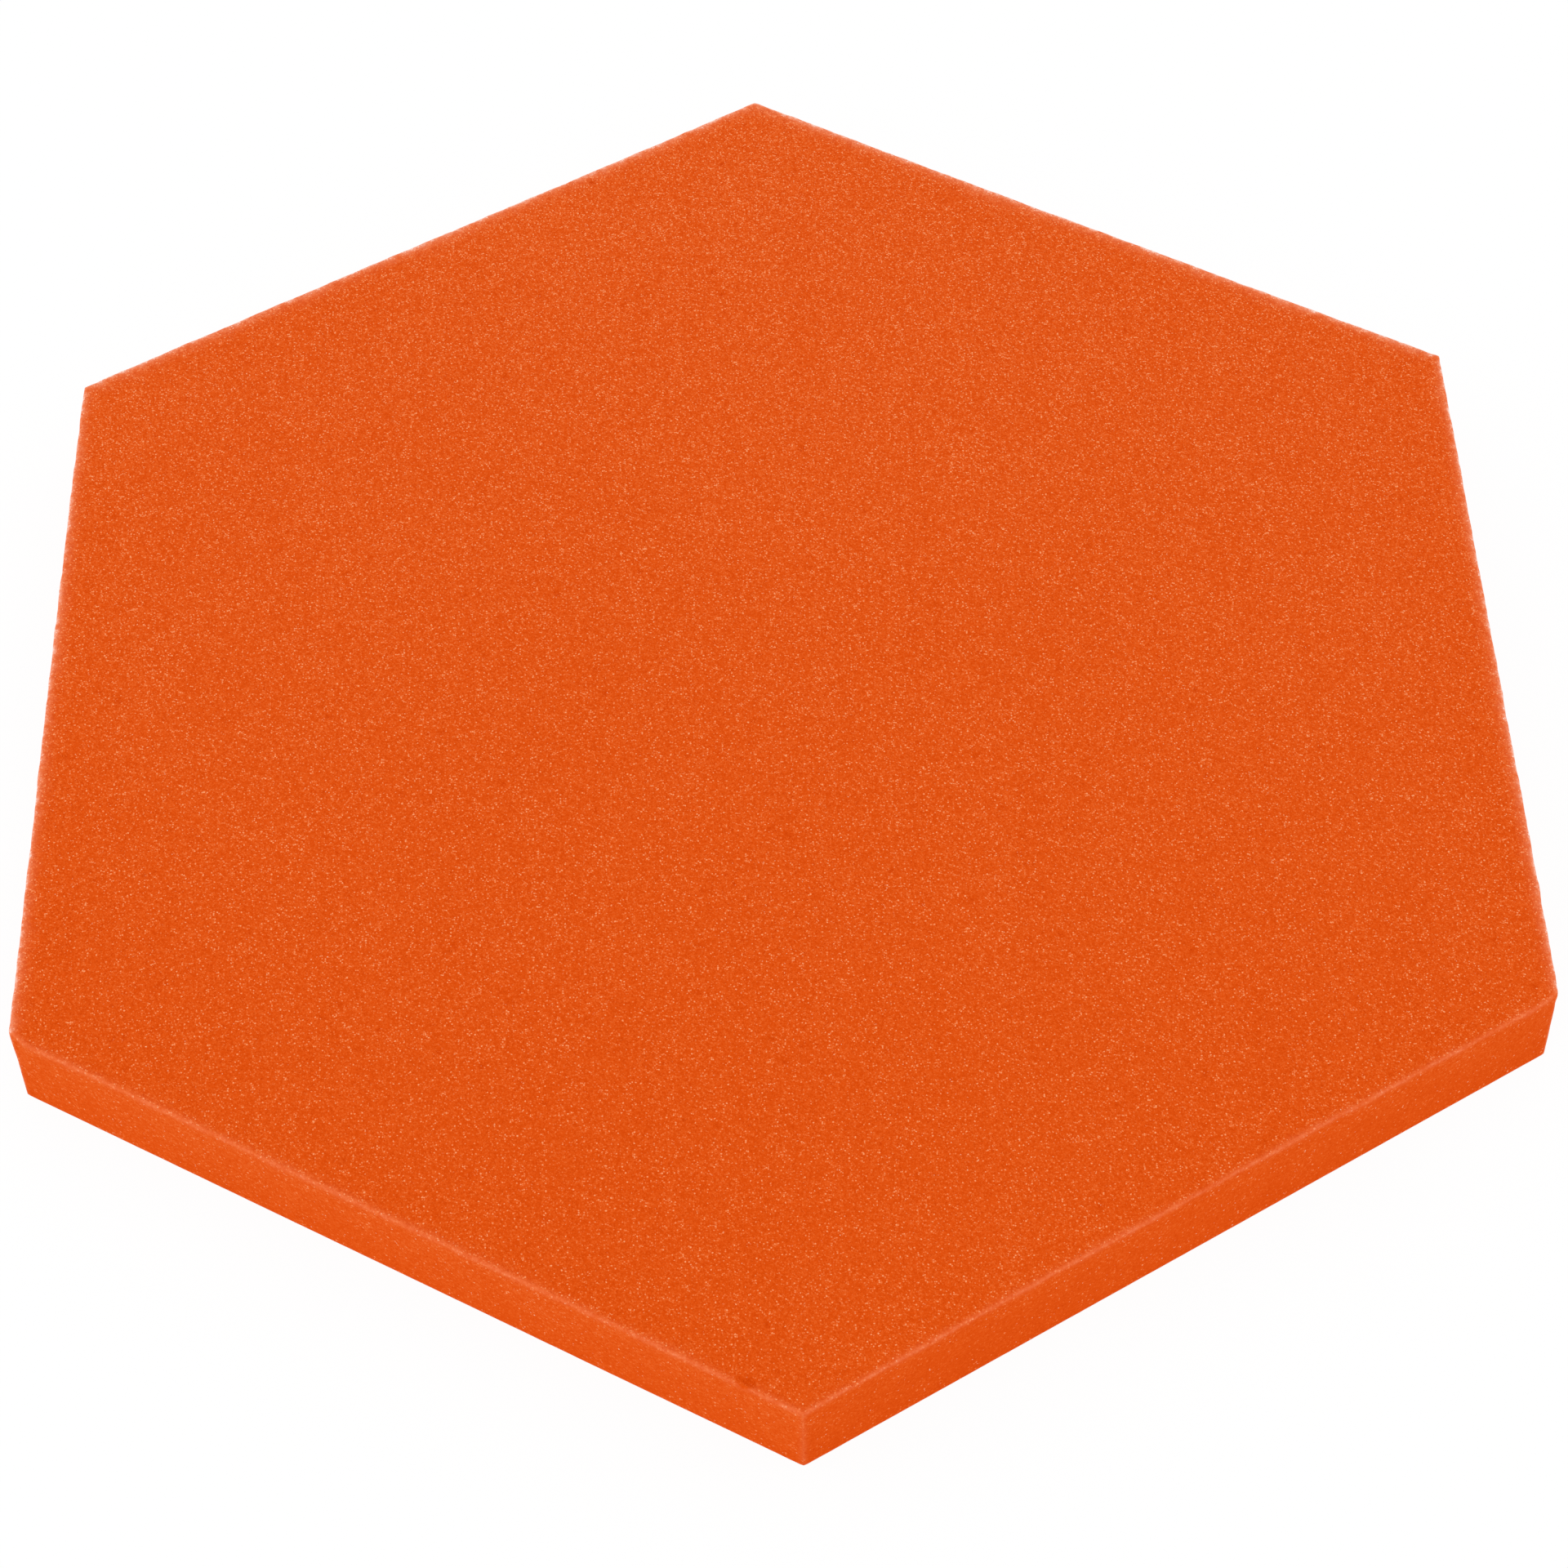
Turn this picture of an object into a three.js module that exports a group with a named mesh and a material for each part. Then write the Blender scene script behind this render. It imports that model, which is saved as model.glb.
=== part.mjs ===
// Hexagonal foam panel: one slab, cut square through a sheet of open-cell foam.
//
// Frame: millimetres, +Z up, away from the face that lies on the wall, floor or table.
// The origin is the centre of that back face. Two of the six corners point along +Y and -Y,
// and two of the six cut sides face +X and -X.

import * as THREE from "three";

// Driving dimensions.
const SIDES = 6;
const ACROSS_FLATS = 300; // between two opposite cut sides
const THICKNESS = 20; // of the foam sheet
const ARRIS_RADIUS = 0.8; // where a cut side meets a face, and the open cells crumble round
const CORNER_RADIUS = 1.6; // where two cut sides meet
const ARRIS_STEPS = 4; // facets round an arris
const CORNER_STEPS = 3; // half the facets round a corner

// Finish: matt orange foam with no shine of its own.
const FOAM_COLOUR = 0xe2591c;
const FOAM_ROUGHNESS = 0.95;
const FOAM_METALNESS = 0;

// The outline of a cut sheet: straight sides, with a short arc at each corner.
function hexagonOutline() {
  const halfCorner = Math.PI / SIDES;
  const cornerDistance = ACROSS_FLATS / 2 / Math.cos(halfCorner);
  const arcCentreDistance = cornerDistance - CORNER_RADIUS / Math.cos(halfCorner);
  const outline = new THREE.Shape();
  for (let corner = 0; corner < SIDES; corner += 1) {
    const bearing = 2 * halfCorner * corner - Math.PI / 2;
    outline.absarc(
      arcCentreDistance * Math.cos(bearing),
      arcCentreDistance * Math.sin(bearing),
      CORNER_RADIUS,
      bearing - halfCorner,
      bearing + halfCorner,
    );
  }
  outline.closePath();
  return outline;
}

// The slab: the outline through the sheet's thickness, with its arrises rounded inwards,
// so that its flats and faces keep their full distances.
function slabGeometry() {
  const geometry = new THREE.ExtrudeGeometry(hexagonOutline(), {
    depth: THICKNESS - 2 * ARRIS_RADIUS,
    curveSegments: CORNER_STEPS,
    bevelThickness: ARRIS_RADIUS,
    bevelSize: ARRIS_RADIUS,
    bevelOffset: -ARRIS_RADIUS,
    bevelSegments: ARRIS_STEPS,
  });
  geometry.translate(0, 0, ARRIS_RADIUS);
  return geometry;
}

function foamMaterial() {
  return new THREE.MeshStandardMaterial({
    color: FOAM_COLOUR,
    roughness: FOAM_ROUGHNESS,
    metalness: FOAM_METALNESS,
  });
}

function foamPanel() {
  const panel = new THREE.Mesh(slabGeometry(), foamMaterial());
  panel.name = "foam_panel";
  return panel;
}

const model = new THREE.Group();
model.add(foamPanel());

export default model;
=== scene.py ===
"""Looks of a hexagonal panel of orange open-cell foam, built around its CAD frame.

The panel is one slab of foam sheet. Its two faces were sliced, so they show open cells, and its
six sides were cut in one stroke each, so they are smoother and their arrises have crumbled a little.
Everything is in metres, in the frame of the CAD part: +Z out of the sheet, a corner along -Y.
"""

import logging
import math
import random
from dataclasses import dataclass
from enum import Enum

import bmesh
import bpy
from mathutils import Matrix, Quaternion, Vector, kdtree, noise


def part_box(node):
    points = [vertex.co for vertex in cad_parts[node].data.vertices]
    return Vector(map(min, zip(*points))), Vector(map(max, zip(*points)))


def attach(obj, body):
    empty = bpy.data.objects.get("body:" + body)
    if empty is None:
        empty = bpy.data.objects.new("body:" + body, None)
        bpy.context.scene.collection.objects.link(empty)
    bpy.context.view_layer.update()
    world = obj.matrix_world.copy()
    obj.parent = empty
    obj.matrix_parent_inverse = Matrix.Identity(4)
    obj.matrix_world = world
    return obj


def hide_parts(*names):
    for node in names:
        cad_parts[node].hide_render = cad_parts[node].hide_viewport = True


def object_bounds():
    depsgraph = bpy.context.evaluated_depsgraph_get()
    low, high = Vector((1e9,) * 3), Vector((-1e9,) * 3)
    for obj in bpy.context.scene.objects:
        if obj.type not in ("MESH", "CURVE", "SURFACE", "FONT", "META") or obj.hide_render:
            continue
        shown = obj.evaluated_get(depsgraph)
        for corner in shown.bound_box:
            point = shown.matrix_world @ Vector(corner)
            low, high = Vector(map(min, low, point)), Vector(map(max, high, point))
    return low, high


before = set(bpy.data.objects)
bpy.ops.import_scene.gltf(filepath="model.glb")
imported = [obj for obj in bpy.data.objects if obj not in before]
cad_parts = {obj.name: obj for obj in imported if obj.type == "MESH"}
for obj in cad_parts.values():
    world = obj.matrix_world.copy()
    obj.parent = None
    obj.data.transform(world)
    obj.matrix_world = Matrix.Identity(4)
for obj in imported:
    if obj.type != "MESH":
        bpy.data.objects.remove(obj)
CAD_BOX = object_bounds()

MM = 0.001
SIDES = 6
HALF_CORNER = math.pi / SIDES
ARRIS_LAYER = "arris_distance"
FRAY_LAYER = "fray_width"
PALE_AND_HIGHLIGHT_LAYER = "fray_paleness_and_highlight"
PAINTED_TONE_LAYER = "painted_light_and_shade_tone"

log = logging.getLogger("foam_panel")

Colour = tuple[float, float, float]
Point = tuple[float, float, float]


# ---------------------------------------------------------------- node sheets


class Sheet:
    """A node tree being laid out, with short calls for the nodes that foam needs."""

    def __init__(self, tree: bpy.types.NodeTree) -> None:
        """Starts on an empty or new tree."""
        self.tree = tree

    def node(self, kind: str, settings: dict | None = None, **inputs: object) -> bpy.types.Node:
        """Adds a node.

        Args:
            kind: the node's type name.
            settings: properties to set on the node itself.
            inputs: a socket to link or a value to set, by the input's name with spaces as underscores.

        Returns:
            The new node.
        """
        made = self.tree.nodes.new(kind)
        for name, value in (settings or {}).items():
            setattr(made, name, value)
        for name, value in inputs.items():
            self.feed(made.inputs[name.replace("_", " ")], value)
        return made

    def feed(self, socket: bpy.types.NodeSocket, value: object) -> None:
        """Links a socket into another, or sets its value."""
        if isinstance(value, bpy.types.NodeSocket):
            self.tree.links.new(value, socket)
        else:
            socket.default_value = value

    def math(self, operation: str, *values: object, clamp: bool = False) -> bpy.types.NodeSocket:
        """Adds a Math node.

        Args:
            operation: the Math node's operation.
            values: its one, two or three operands, each a socket or a number.
            clamp: whether the result is kept from 0 to 1.

        Returns:
            The result's socket.
        """
        made = self.node("ShaderNodeMath", {"operation": operation, "use_clamp": clamp})
        for socket, value in zip(made.inputs, values):
            self.feed(socket, value)
        return made.outputs[0]

    def vector(self, operation: str, first: object, second: object) -> bpy.types.NodeSocket:
        """Adds a Vector Math node and returns its vector."""
        made = self.node("ShaderNodeVectorMath", {"operation": operation})
        self.feed(made.inputs[0], first)
        self.feed(made.inputs["Scale"] if operation == "SCALE" else made.inputs[1], second)
        return made.outputs[0]

    def ramp(self, value: object, low: float, high: float) -> bpy.types.NodeSocket:
        """A smooth step of a value.

        Args:
            value: the socket to read.
            low: where the result is 0.
            high: where the result is 1, on either side of low.

        Returns:
            The result's socket.
        """
        made = self.node("ShaderNodeMapRange", {"interpolation_type": "SMOOTHSTEP"})
        flip = low > high
        for name, given in (
            ("Value", value),
            ("From Min", min(low, high)),
            ("From Max", max(low, high)),
            ("To Min", 1.0 if flip else 0.0),
            ("To Max", 0.0 if flip else 1.0),
        ):
            self.feed(made.inputs[name], given)
        return made.outputs["Result"]

    def clouds(self, vector: object, scale: float, detail: float = 1.0) -> bpy.types.NodeSocket:
        """Cloud noise about 0, roughly from -0.5 to 0.5.

        Args:
            vector: where to read it.
            scale: features to a unit of the vector.
            detail: octaves finer than the first.

        Returns:
            The noise's socket.
        """
        made = self.node("ShaderNodeTexNoise", Vector=vector, Scale=scale, Detail=detail, Roughness=0.55)
        return self.math("SUBTRACT", made.outputs["Factor" if "Factor" in made.outputs else "Fac"], 0.5)

    def read(self, layer: str) -> bpy.types.NodeSocket:
        """Reads a layer of the mesh."""
        return self.node("ShaderNodeAttribute", {"attribute_name": layer}).outputs["Fac"]

    def mix(self, share: object, first: object, second: object) -> bpy.types.NodeSocket:
        """Mixes two colours.

        Args:
            share: how much of the second, from 0 to 1.
            first: the colour under.
            second: the colour over.

        Returns:
            The result's colour socket.
        """
        made = self.node("ShaderNodeMix", {"data_type": "RGBA"})
        self.feed(made.inputs[0], share)
        self.feed(made.inputs[6], first)
        self.feed(made.inputs[7], second)
        return made.outputs[2]


def rgba(colour: Colour) -> tuple[float, float, float, float]:
    """A linear colour with full alpha."""
    return (*colour, 1.0)


class GroupSheet(Sheet):
    """A shader node group being laid out, with named sockets in and out."""

    def __init__(self, name: str, inputs: dict[str, str], outputs: dict[str, str]) -> None:
        """Makes the group.

        Args:
            name: the group's name.
            inputs: socket type by socket name.
            outputs: socket type by socket name.
        """
        self.group = bpy.data.node_groups.new(name, "ShaderNodeTree")
        super().__init__(self.group)
        for way, sockets in (("INPUT", inputs), ("OUTPUT", outputs)):
            for socket, kind in sockets.items():
                self.group.interface.new_socket(socket, in_out=way, socket_type=kind)
        self.given = self.node("NodeGroupInput").outputs
        self.result = self.node("NodeGroupOutput").inputs


VALUE = "NodeSocketFloat"
VECTOR = "NodeSocketVector"


# How far the rows of cells are bent out of line, in cells, and the bends to a cell.
BEND = 0.9
BEND_SCALE = 0.6

# Where the parts of a cell end and where they are whole, in cells: the strut from the nearest wall, the
# others from the cell's middle.
STRUT_FADE = (0.16, 0.0)
HOLLOW_FADE = (0.55, 0.1)
LIT_FADE = (0.75, 0.25)
GLINT_FADE = (0.42, 0.12)

# Least lot that a cell draws, which limits how bright the painted highlight on the rarest cells grows.
LEAST_LOT = 0.002

# How unevenly the painted highlights of glinting membranes are spread, and the crowds to a cell.
CROWDING = 2.0
CROWD_SCALE = 0.12

# Clouds to a cell in the tone.
CLOUD_SCALE = 1.3

# How far each trait of a cell moves its tone along the shades. The lit term is a painted highlight on rare
# cells, the strut term painted light on the cell walls and the pore term painted shade in deep cells; the
# even and cloud terms are the foam's own random tone.
EVEN_GAIN = 0.24
LIT_GAIN = -0.15
STRUT_LIGHT_GAIN = 0.04
PORE_SHADE_GAIN = -0.40
CLOUD_GAIN = 0.35
TONE_START = -0.19

# How far slow drift over the sheet and the tone of a crumb move what they act on.
DRIFT_GAIN = 0.04
CRUMB_GAIN = 1.2

# How strong the painted highlight at the very edge of the densest fray is, and how steeply it thins out.
RIM_HIGHLIGHT_GAIN = 0.7
RIM_HIGHLIGHT_FALL = 4.0

# Roughness of the foam, and how much smoother a glinting membrane is.
ROUGHNESS = 0.92
GLINT_SMOOTHING = -0.35
SHEEN_TINT = (1.0, 0.65, 0.40)


def cell_group() -> bpy.types.NodeTree:
    """The open cells of a cut surface.

    Returns:
        A group that gives a tone about 0, with painted light and shade in it, a mask of painted highlights
        on glinting membranes and a height, from a place, a cell size and the share of cells that glint.
    """
    sheet = GroupSheet(
        "open_cells",
        {"Place": VECTOR, "Cell": VALUE, "Glints": VALUE},
        {"Tone": VALUE, "Glint": VALUE, "Height": VALUE},
    )
    place = sheet.vector("DIVIDE", sheet.given["Place"], sheet.given["Cell"])
    bend = sheet.node("ShaderNodeTexNoise", Vector=place, Scale=BEND_SCALE, Detail=1.0).outputs["Color"]
    place = sheet.vector("ADD", place, sheet.vector("SCALE", bend, BEND))
    nearest = sheet.node("ShaderNodeTexVoronoi", Vector=place, Scale=1.0)
    wall = sheet.node("ShaderNodeTexVoronoi", {"feature": "DISTANCE_TO_EDGE"}, Vector=place, Scale=1.0)
    lot = sheet.node("ShaderNodeSeparateColor", Color=nearest.outputs["Color"]).outputs
    strut = sheet.ramp(wall.outputs["Distance"], *STRUT_FADE)
    hollow = sheet.ramp(nearest.outputs["Distance"], *HOLLOW_FADE)
    depth = sheet.math("MULTIPLY", hollow, lot[0])
    tip = sheet.ramp(nearest.outputs["Distance"], *LIT_FADE)
    rare = sheet.math("LOGARITHM", sheet.math("MAXIMUM", lot[0], LEAST_LOT), math.e)
    # A painted highlight on the middles of the rarest cells.
    lit = sheet.math("MULTIPLY", rare, tip)
    # Painted shade in the hollows of deep cells.
    pore_shade = sheet.math("MULTIPLY", hollow, sheet.math("POWER", lot[2], 3.0))
    tone = sheet.math("MULTIPLY_ADD", lit, LIT_GAIN, TONE_START)
    tone = sheet.math("MULTIPLY_ADD", lot[1], EVEN_GAIN, tone)
    # Painted light on the struts of the cell walls.
    tone = sheet.math("MULTIPLY_ADD", strut, STRUT_LIGHT_GAIN, tone)
    tone = sheet.math("MULTIPLY_ADD", pore_shade, PORE_SHADE_GAIN, tone)
    tone = sheet.math("MULTIPLY_ADD", sheet.clouds(place, CLOUD_SCALE), CLOUD_GAIN, tone)
    crowd = sheet.math("MULTIPLY_ADD", sheet.clouds(place, CROWD_SCALE), CROWDING, 1.0)
    reach = sheet.math("MULTIPLY", sheet.given["Glints"], crowd)
    shown = sheet.math("GREATER_THAN", sheet.math("ADD", lot[1], reach), 1.0)
    dot = sheet.ramp(nearest.outputs["Distance"], *GLINT_FADE)
    strength = sheet.math("POWER", lot[2], 2.0)
    glint = sheet.math("MULTIPLY", sheet.math("MULTIPLY", shown, dot), strength)
    sheet.feed(sheet.result["Tone"], tone)
    sheet.feed(sheet.result["Glint"], glint)
    sheet.feed(sheet.result["Height"], sheet.math("SUBTRACT", strut, depth))
    return sheet.group


# Features to a millimetre: fine and coarse lumps, the drift, and the streaks along X, Y and Z.
LUMP_SCALES = (0.55, 0.16)
DRIFT_SCALE = 0.02
STREAK_SCALES = (0.22, 0.012, 0.22)


def mottle_group() -> bpy.types.NodeTree:
    """Slow changes over the sheet: lumps of a few cells, clouds, and streaks along the slicing direction.

    Returns:
        A group that gives lumps and drift, each about 0.
    """
    sheet = GroupSheet("sheet_mottle", {"Place": VECTOR}, {"Lumps": VALUE, "Drift": VALUE})
    place = sheet.vector("SCALE", sheet.given["Place"], 1 / MM)
    fine, coarse = LUMP_SCALES
    lumps = sheet.math("ADD", sheet.clouds(place, fine), sheet.clouds(place, coarse))
    streaks = sheet.clouds(sheet.vector("MULTIPLY", place, STREAK_SCALES), 1.0, 2.0)
    drift = sheet.math("ADD", sheet.clouds(place, DRIFT_SCALE, 2.0), streaks)
    sheet.feed(sheet.result["Lumps"], lumps)
    sheet.feed(sheet.result["Drift"], drift)
    return sheet.group


# How far the fray's edge wanders, as a share of its width, and the waves to a millimetre, slow and quick.
WANDER = 0.9
WANDER_SCALES = (0.09, 0.5)

# The narrowest fray, how steeply it fades, how patchy it is, and the patches to a millimetre.
LEAST_FRAY = 0.1 * MM
FRAY_FALL = 1.2
PATCHINESS = 2.2
PATCH_SCALE = 0.45


def fray_and_highlight_group() -> bpy.types.NodeTree:
    """The pale band along every arris: partly crumbled foam, partly a painted highlight.

    Returns:
        A group that gives a mask from a place, the arris distance, and the fray's width and paleness there.
    """
    sheet = GroupSheet(
        "arris_fray_and_highlight",
        {"Place": VECTOR, "Arris distance": VALUE, "Fray width": VALUE, "Paleness": VALUE},
        {"Fray": VALUE},
    )
    place = sheet.vector("SCALE", sheet.given["Place"], 1 / MM)
    slow, quick = WANDER_SCALES
    wander = sheet.math("ADD", sheet.clouds(place, slow, 2.0), sheet.clouds(place, quick, 2.0))
    stretch = sheet.math("MULTIPLY_ADD", wander, WANDER, 1.0)
    reach = sheet.math("MULTIPLY", sheet.given["Fray width"], stretch)
    share = sheet.math("DIVIDE", sheet.given["Arris distance"], sheet.math("MAXIMUM", reach, LEAST_FRAY))
    fade = sheet.math("EXPONENT", sheet.math("MULTIPLY", sheet.math("POWER", share, FRAY_FALL), -1.0))
    patchy = sheet.math("MULTIPLY_ADD", sheet.clouds(place, PATCH_SCALE, 3.0), PATCHINESS, 1.0)
    strength = sheet.math("MULTIPLY", fade, sheet.given["Paleness"])
    sheet.feed(sheet.result["Fray"], sheet.math("MULTIPLY", strength, patchy, clamp=True))
    return sheet.group


# ---------------------------------------------------------------- finishes


@dataclass(frozen=True)
class FoamFinish:
    """How cut foam looks.

    Attributes:
        name: the material's name.
        shades: linear colours of the foam by tone, from painted shade deep in a cell to painted light on a
            lit cell wall, with the foam's own random tone between.
        glint: linear colour of the painted highlight where a membrane glints.
        pale: linear colour of the arris band, crumbled foam with a painted highlight.
        rim_highlight: linear colour of the whitish painted highlight at the very edge of an arris.
        cell: width of a cell.
        grain: how strongly the cells show, 1 on a sliced face.
        lumps: how strongly lumps of a few cells show.
        shift: shift of the whole surface along the shades.
        glints: share of the cells that get a painted highlight.
        relief: depth of the shading relief.
        sheen: strength of the soft glow of the cell walls at grazing angles.
        swell: how much stronger the grain, with its painted cell light and shade, grows towards the back,
            per metre.
        painted_back_sheen: how much paler the foam turns towards the back, along the shades, per metre: a
            painted sheen.
    """

    name: str
    shades: tuple[tuple[float, Colour], ...] = (
        (0.10, (0.600, 0.045, 0.0010)),
        (0.37, (0.703, 0.069, 0.0024)),
        (0.50, (0.757, 0.085, 0.0052)),
        (0.63, (0.815, 0.121, 0.0160)),
        (0.76, (0.882, 0.193, 0.0520)),
        (0.95, (0.950, 0.330, 0.1400)),
    )
    glint: Colour = (0.96, 0.60, 0.38)
    pale: Colour = (0.98, 0.30, 0.13)
    rim_highlight: Colour = (1.0, 0.82, 0.74)
    cell: float = 0.34 * MM
    grain: float = 1.0
    lumps: float = 0.02
    shift: float = 0.018
    glints: float = 0.05
    relief: float = 0.02 * MM
    sheen: float = 0.3
    swell: float = 0.9
    painted_back_sheen: float = 0.15

    def shade(self, sheet: Sheet, tone: bpy.types.NodeSocket) -> bpy.types.NodeSocket:
        """Looks a tone about 0 up among the shades.

        Args:
            sheet: the material being laid out.
            tone: the tone's socket.

        Returns:
            The colour's socket.
        """
        made = sheet.node("ShaderNodeValToRGB", Fac=sheet.math("ADD", tone, 0.5 + self.shift))
        steps = made.color_ramp.elements
        steps.remove(steps[1])
        (start, darkest), *paler = self.shades
        steps[0].position = start
        steps[0].color = rgba(darkest)
        for position, given in paler:
            steps.new(position).color = rgba(given)
        return made.outputs["Color"]

    def material(self, groups: dict[str, bpy.types.NodeTree]) -> bpy.types.Material:
        """Builds the material.

        Args:
            groups: the shared node groups by name.

        Returns:
            The new material.
        """
        made = bpy.data.materials.new(self.name)
        made.use_nodes = True
        made.node_tree.nodes.clear()
        sheet = Sheet(made.node_tree)
        place = sheet.node("ShaderNodeTexCoord").outputs["Object"]

        cells = sheet.node("ShaderNodeGroup", {"node_tree": groups["cells"]}, Place=place, Cell=self.cell)
        cells.inputs["Glints"].default_value = self.glints
        mottle = sheet.node("ShaderNodeGroup", {"node_tree": groups["mottle"]}, Place=place).outputs
        fray = sheet.node(
            "ShaderNodeGroup",
            {"node_tree": groups["fray"]},
            Place=place,
            Arris_distance=sheet.read(ARRIS_LAYER),
            Fray_width=sheet.read(FRAY_LAYER),
            Paleness=sheet.read(PALE_AND_HIGHLIGHT_LAYER),
        ).outputs["Fray"]

        back = sheet.node("ShaderNodeSeparateXYZ", Vector=place).outputs["Y"]
        # The grain, painted cell light and shade with it, grows stronger towards the back.
        grain = sheet.math("MULTIPLY_ADD", back, self.swell * self.grain, self.grain)
        tone = sheet.math("MULTIPLY", cells.outputs["Tone"], grain)
        tone = sheet.math("MULTIPLY_ADD", mottle["Lumps"], self.lumps, tone)
        tone = sheet.math("MULTIPLY_ADD", mottle["Drift"], DRIFT_GAIN, tone)
        # Painted sheen: paler towards the back.
        tone = sheet.math("MULTIPLY_ADD", back, self.painted_back_sheen, tone)
        # Painted light and shade of the cut sides and the pits, read from the mesh.
        tone = sheet.math("ADD", tone, sheet.read(PAINTED_TONE_LAYER))
        # Painted highlights where membranes glint, mixed into the base colour.
        colour = sheet.mix(cells.outputs["Glint"], self.shade(sheet, tone), rgba(self.glint))
        # The pale arris band: crumbled foam with a painted highlight.
        crumbs = sheet.math("MULTIPLY_ADD", cells.outputs["Tone"], CRUMB_GAIN, 1.0)
        fray = sheet.math("MULTIPLY", fray, crumbs, clamp=True)
        colour = sheet.mix(fray, colour, rgba(self.pale))
        # A whiter painted highlight at the very edge of the arris band.
        rim_highlight_share = sheet.math("MULTIPLY", sheet.math("POWER", fray, RIM_HIGHLIGHT_FALL), RIM_HIGHLIGHT_GAIN)
        colour = sheet.mix(rim_highlight_share, colour, rgba(self.rim_highlight))

        bump = sheet.node(
            "ShaderNodeBump", Strength=self.grain, Distance=self.relief, Height=cells.outputs["Height"]
        )
        rough = sheet.math("MULTIPLY_ADD", cells.outputs["Glint"], GLINT_SMOOTHING, ROUGHNESS)
        surface = sheet.node(
            "ShaderNodeBsdfPrincipled",
            Base_Color=colour,
            Roughness=rough,
            Normal=bump.outputs["Normal"],
            IOR=1.45,
            Sheen_Weight=self.sheen,
            Sheen_Roughness=0.35,
            Sheen_Tint=rgba(SHEEN_TINT),
        )
        surface.inputs["Specular IOR Level"].default_value = 0.0
        sheet.node("ShaderNodeOutputMaterial", Surface=surface.outputs["BSDF"])
        return made


# ---------------------------------------------------------------- the slab


class Surface(Enum):
    """Which finish a polygon takes, as its place in the slab's list of materials."""

    SLICED_FACE = 0
    CUT_SIDE = 1


@dataclass(frozen=True)
class CutStroke:
    """One of the six strokes that cut the hexagon from the sheet.

    Attributes:
        bearing: direction that the cut side faces, in degrees from +X.
        fray: width of the pale arris band, crumbled foam with a painted highlight.
        paleness: how far the arris band turns pale, partly from crumbling, partly as a painted highlight
            that is strongest on the strokes at the back.
        tone: shift of the cut side along the shades: painted light, lighter on the front-left side and
            darker on the front-right.
        lean: how far the upper arris stands out over the lower one, at the stroke's start, middle and end,
            counter-clockwise round the panel.
    """

    bearing: float
    fray: float
    paleness: float
    tone: float
    lean: tuple[float, float, float]

    def lean_at(self, share: float) -> float:
        """The lean at a place along the stroke, from -1 at its start to 1 at its end."""
        start, middle, end = self.lean
        return middle + (end - start) / 2 * share + ((start + end) / 2 - middle) * share * share


# The back strokes (60, 120) and the left and right ones (0, 180) have a wider, paler arris band than the
# front ones: crumbled foam, with a painted highlight that is strongest at the back.
STROKES = (
    CutStroke(0, 1.00 * MM, 0.80, 0.0, (-0.03 * MM, -0.09 * MM, -0.03 * MM)),
    CutStroke(60, 1.35 * MM, 0.92, 0.0, (-0.31 * MM, -0.16 * MM, 0.69 * MM)),
    CutStroke(120, 1.35 * MM, 0.92, 0.0, (-0.06 * MM, 0.00 * MM, -0.23 * MM)),
    CutStroke(180, 1.00 * MM, 0.80, 0.0, (-0.30 * MM, 0.32 * MM, 0.56 * MM)),
    # The front-left side is painted lighter and the front-right side darker, as painted light.
    CutStroke(240, 0.70 * MM, 0.31, 0.025, (0.19 * MM, 0.48 * MM, 0.55 * MM)),
    CutStroke(300, 0.60 * MM, 0.36, -0.025, (-0.02 * MM, -0.24 * MM, -0.06 * MM)),
)

# Corners whose upper end is pushed in along the side behind them: bearing in degrees, and distance.
WORN_CORNERS = ((210, 1.5 * MM), (330, 0.9 * MM))

# The scattered pits: how far they keep from the cut sides, the ranges of their radii and depths in
# millimetres, and the painted shade in their middles, along the shades.
PIT_MARGIN = 3 * MM
PIT_RADII = (0.6, 1.1)
PIT_DEPTHS = (0.1, 0.3)
PIT_SHADE = 0.12

# How fast the fray's paleness is lost towards the middle of a pit.
PALE_LOSS = 1.6

# The nick by the front corner, as small pits: place along the arris and inwards, radius, depth, painted
# shade.
NICK = (
    (13.5 * MM, 0.6 * MM, 1.2 * MM, 0.3 * MM, 0.10),
    (12.3 * MM, 1.2 * MM, 0.9 * MM, 0.4 * MM, 0.15),
    (11.1 * MM, 0.8 * MM, 1.1 * MM, 0.5 * MM, 0.14),
    (12.3 * MM, 0.2 * MM, 1.4 * MM, 0.2 * MM, 0.04),
)


# How much narrower the fray is on the upright arrises and on the lower ones, and how much weaker upright.
UPRIGHT_NARROWING = 1.5
FOOT_NARROWING = 3.0
UPRIGHT_PALENESS = 0.6

# How much paler a cut side turns from its lower arris to its upper one, along the shades: painted shade,
# darker towards the table.
SIDE_SHADE_RISE = 0.09

# How far in from a side its lean and its waver fade out, and how far round a worn corner.
LEAN_REACH = 12 * MM
WAVER_REACH = 1.5 * MM
CORNER_REACH = 2.5 * MM

# Waves of a wavering arris and of the cut surface's relief: features to a millimetre, and height in
# millimetres. The streaks have their features along X, Y and Z.
WAVERS = ((0.16, 0.20), (0.45, 0.12))
SLOW_WAVE = (0.018, 0.08)
LUMP_WAVE = (0.24, 0.02)
CRUMB_WAVES = ((0.71, 0.018), (1.31, 0.015))
STREAK_WAVE = ((0.2, 0.01, 0.2), 0.03)

# Share of the lumps and of the crumbs that is left where the surface is upright.
LUMP_FLOOR = 0.3
CRUMB_FLOOR = 0.4

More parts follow.
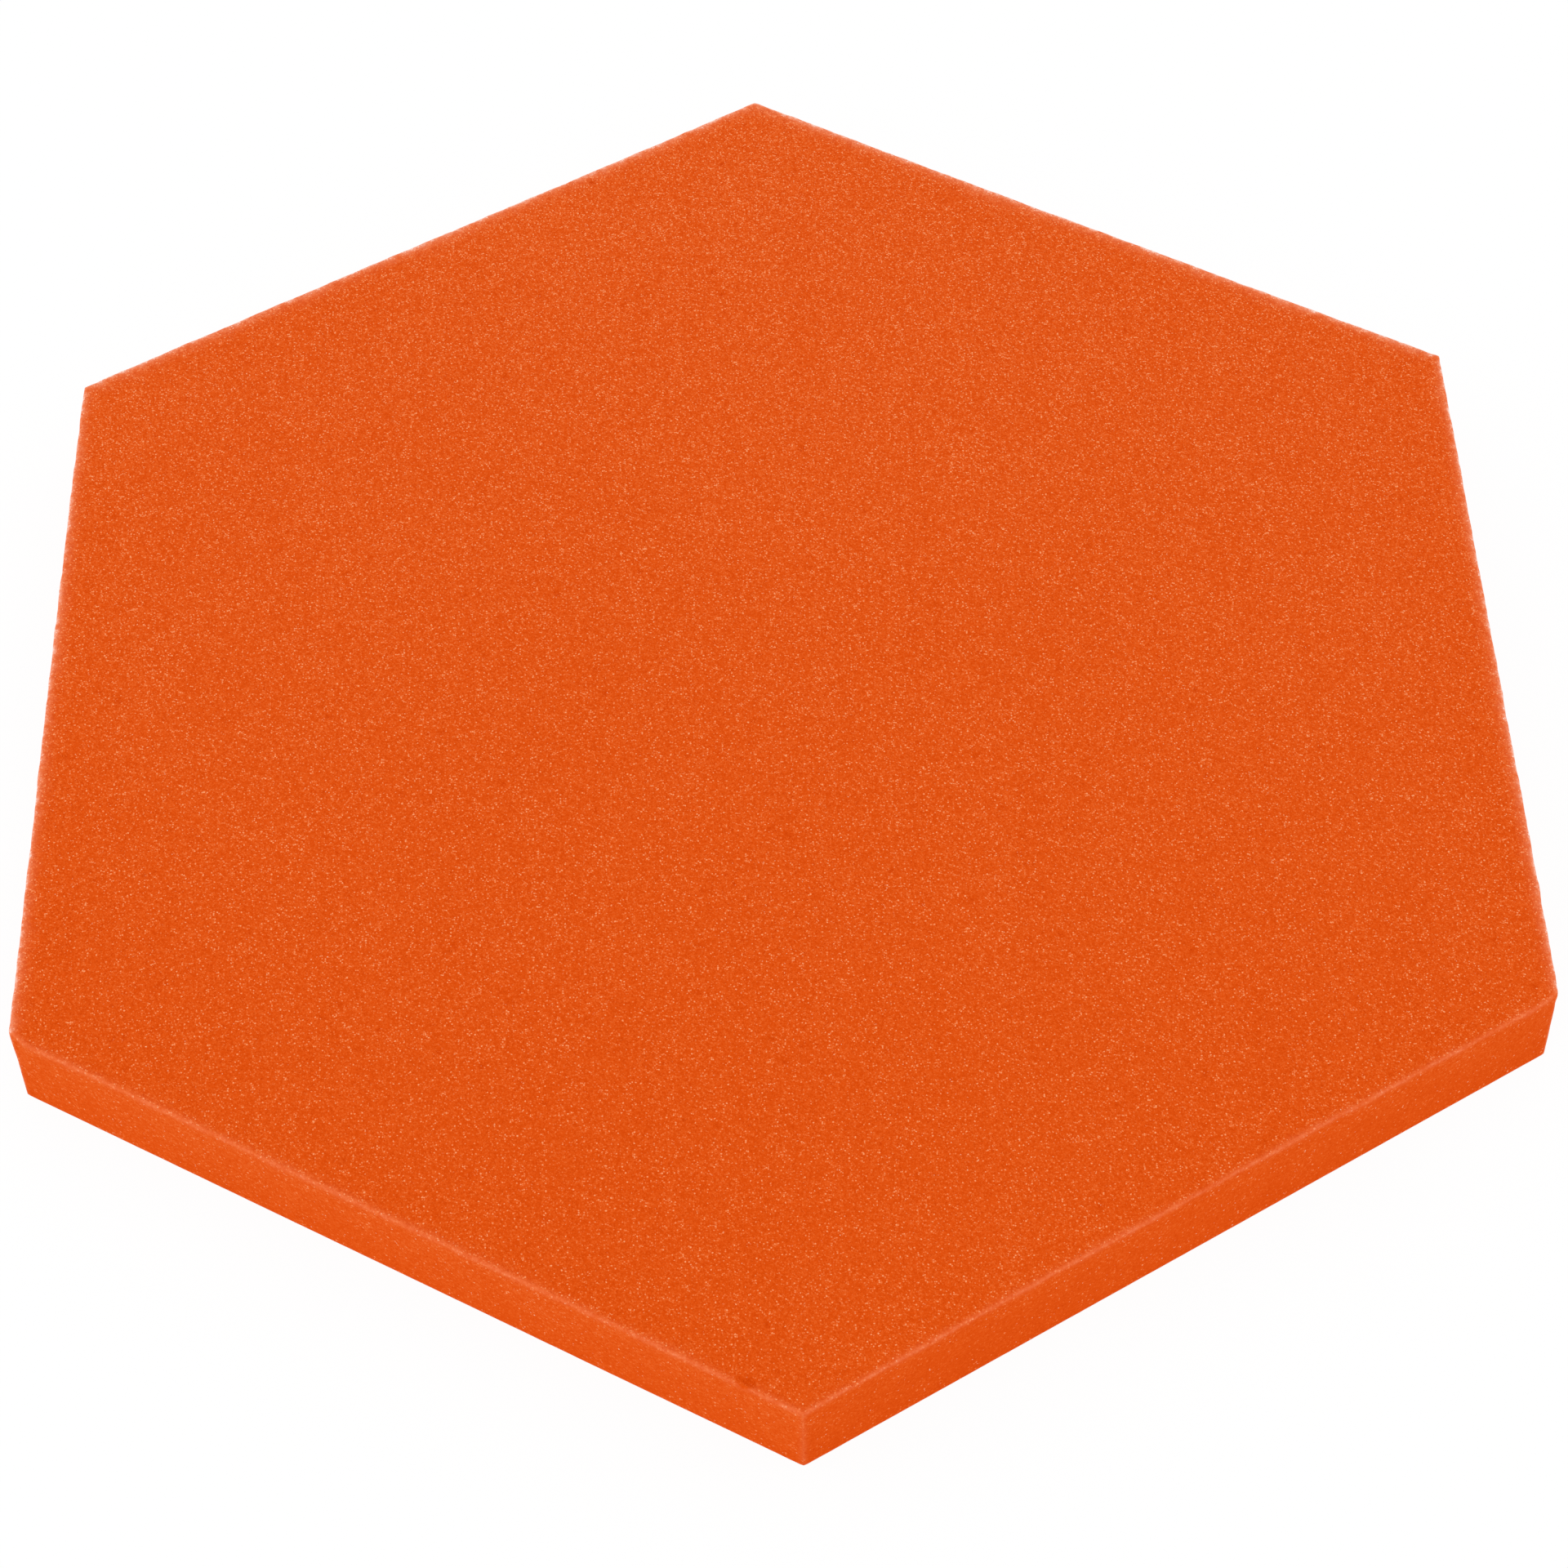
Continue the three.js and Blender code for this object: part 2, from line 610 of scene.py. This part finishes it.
# Height of the band where the back face meets the sides, and how far apart its vertices are still one.
SEAM_BAND = MM / 100
SEAM_GAP = MM / 50


@dataclass(frozen=True)
class Pit:
    """A hollow torn in the surface.

    Attributes:
        place: its middle, on the surface.
        radius: its reach.
        depth: how far its middle sinks.
        painted_shade: how much darker its middle is painted, as shade in the hollow.
    """

    place: Vector
    radius: float
    depth: float
    painted_shade: float


def wave(place: Vector, scale: float, height: float) -> float:
    """Cloud noise about 0, with so many features to a unit of the place, and so high."""
    return noise.noise(place * scale) * height


def heading(bearing: float) -> Vector:
    """A level direction, in degrees from +X."""
    return Vector((math.cos(math.radians(bearing)), math.sin(math.radians(bearing))))


@dataclass
class FoamSlab:
    """The slab of foam sheet, in place of its plain CAD solid.

    Attributes:
        node: the CAD node that it stands for.
        steps: lattice steps along a side.
        side_rows: rows of polygons down a side between its arrises.
        arris_rows: rows of polygons round an arris.
        head_arris: radius of the upper arris.
        foot_arris: radius of the lower arris, pressed sharper by the slab's rest on its back.
        corner: radius between two cut sides.
        pits: torn hollows in the front face.
        seed: start of every random draw.
    """

    node: str = "foam_panel"
    steps: int = 240
    side_rows: int = 26
    arris_rows: int = 5
    head_arris: float = 0.5 * MM
    foot_arris: float = 0.15 * MM
    corner: float = 0.7 * MM
    pits: int = 220
    seed: int = 7

    def __post_init__(self) -> None:
        """Reads the slab's size from its CAD node."""
        low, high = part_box(self.node)
        self.apothem = (high.x - low.x) / 2
        self.middle = Vector(((low.x + high.x) / 2, (low.y + high.y) / 2))
        self.base = low.z
        self.top = high.z
        self.flats = [heading(stroke.bearing) for stroke in STROKES]
        self.rng = random.Random(self.seed)

    def insets(self, place: Vector) -> list[tuple[float, int]]:
        """How far a place lies in from each of the six cut sides, nearest first.

        Args:
            place: a point in the frame.

        Returns:
            Pairs of distance and the side's number.
        """
        arm = place.xy - self.middle
        return sorted((self.apothem - flat.dot(arm), side) for side, flat in enumerate(self.flats))

    def rise(self, height: float) -> float:
        """A height as a share of the slab's, from 0 at its back to 1 at its front face."""
        return (height - self.base) / (self.top - self.base)

    def lattice(self, bm: bmesh.types.BMesh, inset: float, height: float) -> None:
        """Lays one sliced face as six triangles, divided evenly.

        Args:
            bm: the mesh to add to.
            inset: how far the face's outline is in from the cut sides.
            height: the face's height.
        """
        radius = (self.apothem - inset) / math.cos(HALF_CORNER)
        place = Matrix.Translation((self.middle.x, self.middle.y, height))
        made = bmesh.ops.create_circle(
            bm, cap_ends=True, cap_tris=True, segments=SIDES, radius=radius, matrix=place
        )
        edges = list({edge for vert in made["verts"] for edge in vert.link_edges})
        bmesh.ops.subdivide_edges(bm, edges=edges, cuts=self.steps - 1, use_grid_fill=True)

    def profile(self) -> list[tuple[float, float]]:
        """The slab's edge from the front face's outline to the back face's.

        Returns:
            Pairs of inset from the cut side and height.
        """
        rows: list[tuple[float, float]] = []
        for row in range(1, self.arris_rows + 1):
            turn = math.pi / 2 * row / self.arris_rows
            inset = self.head_arris * (1 - math.sin(turn))
            rows.append((inset, self.top - self.head_arris * (1 - math.cos(turn))))
        upper, lower = self.top - self.head_arris, self.base + self.foot_arris
        for row in range(1, self.side_rows + 1):
            rows.append((0.0, upper + (lower - upper) * row / self.side_rows))
        for row in range(1, self.arris_rows + 1):
            turn = math.pi / 2 * row / self.arris_rows
            rows.append((self.foot_arris * (1 - math.cos(turn)), lower - self.foot_arris * math.sin(turn)))
        return rows

    def walls(self, bm: bmesh.types.BMesh) -> None:
        """Extrudes the front face's outline down the profile, row by row.

        Args:
            bm: the mesh that holds the front face.
        """
        rim = [e for e in bm.edges if e.is_boundary]
        start = self.head_arris
        for inset, height in self.profile():
            made = bmesh.ops.extrude_edge_only(bm, edges=rim)["geom"]
            rim = [g for g in made if isinstance(g, bmesh.types.BMEdge) and g.is_boundary]
            grow = (self.apothem - inset) / (self.apothem - start)
            for vert in (g for g in made if isinstance(g, bmesh.types.BMVert)):
                flat = (vert.co.xy - self.middle) * grow + self.middle
                vert.co = (flat.x, flat.y, height)
            for face in {f for e in rim for f in e.link_faces}:
                face.material_index = Surface.CUT_SIDE.value
            start = inset

    def round_corners(self, bm: bmesh.types.BMesh) -> None:
        """Moves the vertices near the six corners onto arcs.

        Args:
            bm: the mesh with sharp corners.
        """
        for vert in bm.verts:
            (inset, first), (other, second) = self.insets(vert.co)[:2]
            if other > 2 * self.corner or inset > self.corner:
                continue
            out = (self.flats[first] + self.flats[second]).normalized()
            centre = self.middle + out * (self.apothem - self.corner) / math.cos(HALF_CORNER)
            arm = vert.co.xy - centre
            if arm.length > 0 and arm.dot(out) >= arm.length * math.cos(HALF_CORNER):
                vert.co.xy = centre + arm.normalized() * (self.corner - inset)

    def mark_arrises(self, bm: bmesh.types.BMesh) -> None:
        """Writes the arris distance, the fray's width and paleness, which holds a painted highlight, and
        the side's tone of painted light and shade.

        Args:
            bm: the mesh, still without relief.
        """
        distance = bm.verts.layers.float.new(ARRIS_LAYER)
        fray = bm.verts.layers.float.new(FRAY_LAYER)
        paleness = bm.verts.layers.float.new(PALE_AND_HIGHLIGHT_LAYER)
        tone = bm.verts.layers.float.new(PAINTED_TONE_LAYER)
        for vert in bm.verts:
            (first, side), (second, _) = self.insets(vert.co)[:2]
            upright = UPRIGHT_NARROWING * second
            foot = FOOT_NARROWING * (vert.co.z - self.base)
            nearest = sorted((first, upright, self.top - vert.co.z, foot))[1]
            vert[distance] = max(nearest, 0.0)
            vert[fray] = STROKES[side].fray
            vert[paleness] = STROKES[side].paleness * (UPRIGHT_PALENESS if nearest == upright else 1.0)
            # Painted light and shade on each cut side: its stroke's own, and darker towards the table.
            if first < self.head_arris:
                vert[tone] = STROKES[side].tone + SIDE_SHADE_RISE * (self.rise(vert.co.z) - 0.5)

    def lean(self, bm: bmesh.types.BMesh) -> None:
        """Leans the cut sides a little, as the hand-fed cuts were not quite square.

        Args:
            bm: the square slab.
        """
        half_side = self.apothem * math.tan(HALF_CORNER)
        for vert in bm.verts:
            flat = vert.co.xy - self.middle
            rise = self.rise(vert.co.z)
            move = Vector((0.0, 0.0))
            for stroke, out in zip(STROKES, self.flats):
                inset = self.apothem - out.dot(flat)
                if inset < 6 * LEAN_REACH:
                    share = max(-1.0, min(1.0, flat.dot(Vector((-out.y, out.x))) / half_side))
                    move += out * stroke.lean_at(share) * rise * math.exp(-inset / LEAN_REACH)
                if inset < LEAN_REACH:
                    waver = sum(noise.noise(vert.co * scale / MM) * height for scale, height in WAVERS)
                    move += out * waver * MM * rise * rise * math.exp(-inset / WAVER_REACH)
            for bearing, push in WORN_CORNERS:
                gap = (flat - heading(bearing) * self.apothem / math.cos(HALF_CORNER)).length
                if gap < LEAN_REACH:
                    move.y += push * rise * math.exp(-((gap / CORNER_REACH) ** 2))
            vert.co.xy += move

    def relief(self, place: Vector, level: float) -> float:
        """Height of the cut surface over its ideal plane.

        Args:
            place: a point on the surface.
            level: 1 on a sliced face, less on a cut side.

        Returns:
            A distance along the surface's normal, about 0.
        """
        mm = place / MM
        slow = wave(mm, *SLOW_WAVE)
        (across, along, up), height = STREAK_WAVE
        streak = noise.noise(Vector((mm.x * across, mm.y * along, mm.z * up))) * height
        lump = wave(mm, *LUMP_WAVE) * (LUMP_FLOOR + (1 - LUMP_FLOOR) * level)
        crumb = sum(wave(mm, *given) for given in CRUMB_WAVES) * (CRUMB_FLOOR + (1 - CRUMB_FLOOR) * level)
        return ((slow + streak) * level + lump + crumb) * MM

    def roughen(self, bm: bmesh.types.BMesh) -> None:
        """Gives the whole skin the relief of cut foam.

        Args:
            bm: the smooth slab.
        """
        bm.normal_update()
        moves = []
        for vert in bm.verts:
            moves.append((vert, vert.normal * self.relief(vert.co, abs(vert.normal.z))))
        for vert, move in moves:
            vert.co += move

    def hollows(self) -> list[Pit]:
        """Chooses the torn hollows.

        Returns:
            Scattered pits in the front face, and the nick by the front corner.
        """
        made = []
        while len(made) < self.pits:
            share = Vector((self.rng.uniform(-1, 1), self.rng.uniform(-1, 1)))
            place = share * self.apothem / math.cos(HALF_CORNER)
            spot = Vector((*(self.middle + place), self.top))
            if self.insets(spot)[0][0] > PIT_MARGIN:
                radius = self.rng.uniform(*PIT_RADII) * MM
                depth = self.rng.uniform(*PIT_DEPTHS) * MM
                made.append(Pit(spot, radius, depth, PIT_SHADE))
        front = Vector((0.0, -self.apothem / math.cos(HALF_CORNER)))
        along = Vector((-math.cos(HALF_CORNER), math.sin(HALF_CORNER)))
        inwards = Vector((math.sin(HALF_CORNER), math.cos(HALF_CORNER)))
        for offset, inset, radius, depth, painted_shade in NICK:
            spot = self.middle + front + along * offset + inwards * inset
            made.append(Pit(Vector((*spot, self.top)), radius, depth, painted_shade))
        return made

    def tear(self, bm: bmesh.types.BMesh) -> None:
        """Sinks the hollows into the front face, paints shade into them, and takes the pale fray off where
        the foam is torn away.

        Args:
            bm: the roughened slab.
        """
        paleness = bm.verts.layers.float[PALE_AND_HIGHLIGHT_LAYER]
        tone = bm.verts.layers.float[PAINTED_TONE_LAYER]
        bm.verts.ensure_lookup_table()
        tree = kdtree.KDTree(len(bm.verts))
        for vert in bm.verts:
            tree.insert(vert.co, vert.index)
        tree.balance()
        for pit in self.hollows():
            for _, index, distance in tree.find_range(pit.place, pit.radius):
                share = 1 - (distance / pit.radius) ** 2
                bm.verts[index].co.z -= pit.depth * share * share
                bm.verts[index][paleness] *= max(0.0, 1 - PALE_LOSS * share)
                # Painted shade in the hollow.
                bm.verts[index][tone] -= pit.painted_shade * share

    def build(self) -> bpy.types.Object:
        """Builds the slab's mesh.

        Returns:
            The slab, at the origin, unturned and unscaled.
        """
        bm = bmesh.new()
        self.lattice(bm, self.head_arris, self.top)
        self.walls(bm)
        self.lattice(bm, self.foot_arris, self.base)
        seam = [v for v in bm.verts if v.co.z < self.base + SEAM_BAND]
        bmesh.ops.remove_doubles(bm, verts=seam, dist=SEAM_GAP)
        self.round_corners(bm)
        bmesh.ops.recalc_face_normals(bm, faces=bm.faces[:])
        self.mark_arrises(bm)
        self.lean(bm)
        self.roughen(bm)
        self.tear(bm)
        for face in bm.faces:
            face.smooth = True
        mesh = bpy.data.meshes.new("foam_slab")
        bm.to_mesh(mesh)
        bm.free()
        slab = bpy.data.objects.new("foam_slab", mesh)
        bpy.context.scene.collection.objects.link(slab)
        return slab

    def dress(self, slab: bpy.types.Object) -> None:
        """Gives the slab its finishes, in the order of Surface.

        Args:
            slab: the built slab.
        """
        groups = {"cells": cell_group(), "mottle": mottle_group(), "fray": fray_and_highlight_group()}
        slab.data.materials.append(FoamFinish("foam_sliced_face").material(groups))
        side = FoamFinish(
            "foam_cut_side",
            cell=0.44 * MM,
            grain=0.53,
            lumps=0.08,
            shift=0.031,
            glints=0.06,
            relief=0.01 * MM,
            sheen=0.05,
            swell=0.0,
            painted_back_sheen=0.25,
        )
        slab.data.materials.append(side.material(groups))

    def fit(self, slab: bpy.types.Object) -> None:
        """Puts the slab on its CAD body, in place of the plain solid."""
        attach(slab, "root")
        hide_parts(self.node)


# ---------------------------------------------------------------- the studio


@dataclass(frozen=True)
class Softbox:
    """A large soft lamp.

    Attributes:
        name: the lamp's name.
        place: where it hangs.
        width: side of its square.
        power: its watts.
    """

    name: str
    place: Point
    width: float
    power: float

    def hang(self, aim: Vector) -> None:
        """Hangs the lamp, facing a point."""
        lamp = bpy.data.lights.new(self.name, "AREA")
        lamp.shape = "SQUARE"
        lamp.size = self.width
        lamp.energy = self.power
        held = bpy.data.objects.new(self.name, lamp)
        held.location = self.place
        held.rotation_euler = (aim - Vector(self.place)).to_track_quat("-Z", "Y").to_euler()
        bpy.context.scene.collection.objects.link(held)


# The table: half its side, and how far it lies below the CAD part.
TABLE_REACH = 20.0
TABLE_GAP = 0.05 * MM

SENSOR_WIDTH = 36.0


@dataclass
class Studio:
    """White table, white tent and camera.

    Attributes:
        tent: brightness of the surroundings.
        table: how much of the table's white is its own light, so that the slab's shadow stays faint.
        camera_place: where the camera is.
        camera_aim: the point on the slab's front face that it looks at.
        camera_lens: focal length in millimetres, on a sensor 36 mm wide.
        camera_roll: degrees that it is turned about its view.
    """

    tent: float = 1.0
    table: float = 0.95
    camera_place: Point = (-0.01392, -0.51600, 0.64327)
    camera_aim: Point = (0.00092, -0.02948, 0.02)
    camera_lens: float = 89.61
    camera_roll: float = -0.08

    def surround(self) -> None:
        """Sets the tent's even light and plain colour handling."""
        scene = bpy.context.scene
        scene.view_settings.view_transform = "Standard"
        world = bpy.data.worlds.new("tent")
        world.use_nodes = True
        light = world.node_tree.nodes["Background"].inputs
        light["Color"].default_value = rgba((1.0, 1.0, 1.0))
        light["Strength"].default_value = self.tent
        scene.world = world

    def lay_table(self) -> None:
        """Lays the white table under the slab."""
        bm = bmesh.new()
        place = Matrix.Translation((0, 0, CAD_BOX[0].z - TABLE_GAP))
        bmesh.ops.create_grid(bm, x_segments=1, y_segments=1, size=TABLE_REACH, matrix=place)
        mesh = bpy.data.meshes.new("table")
        bm.to_mesh(mesh)
        bm.free()
        table = bpy.data.objects.new("table", mesh)
        bpy.context.scene.collection.objects.link(table)
        paper = bpy.data.materials.new("table_paper")
        paper.use_nodes = True
        paper.node_tree.nodes.clear()
        sheet = Sheet(paper.node_tree)
        surface = sheet.node(
            "ShaderNodeBsdfPrincipled",
            Base_Color=rgba((1 - self.table,) * 3),
            Roughness=1.0,
            Emission_Color=rgba((1.0, 1.0, 1.0)),
            Emission_Strength=self.table,
        )
        surface.inputs["Specular IOR Level"].default_value = 0.0
        sheet.node("ShaderNodeOutputMaterial", Surface=surface.outputs["BSDF"])
        mesh.materials.append(paper)

    def light(self) -> None:
        """Hangs the soft lamp over the table."""
        Softbox("softbox_front_left", (-1.2, -1.0, 1.24), 1.4, 2.2).hang(Vector((0.0, 0.0, 0.0)))

    def camera(self) -> None:
        """Sets up the camera."""
        lens = bpy.data.cameras.new("camera")
        lens.sensor_width = SENSOR_WIDTH
        lens.lens = self.camera_lens
        lens.clip_start = 0.01
        held = bpy.data.objects.new("camera", lens)
        look = (Vector(self.camera_aim) - Vector(self.camera_place)).to_track_quat("-Z", "Y")
        held.rotation_mode = "QUATERNION"
        held.rotation_quaternion = look @ Quaternion((0, 0, 1), math.radians(self.camera_roll))
        held.location = self.camera_place
        bpy.context.scene.collection.objects.link(held)
        bpy.context.scene.camera = held

    def build(self) -> None:
        """Builds the studio."""
        self.surround()
        self.lay_table()
        self.light()
        self.camera()


def main() -> None:
    """Builds the studio and the slab, and reports on them."""
    logging.basicConfig(level=logging.INFO, format="%(name)s: %(message)s")
    Studio().build()
    log.info("studio built")
    part = FoamSlab()
    slab = part.build()
    part.dress(slab)
    part.fit(slab)
    log.info("%s: %d vertices, %d polygons", slab.name, len(slab.data.vertices), len(slab.data.polygons))


if __name__ == "__main__":
    main()
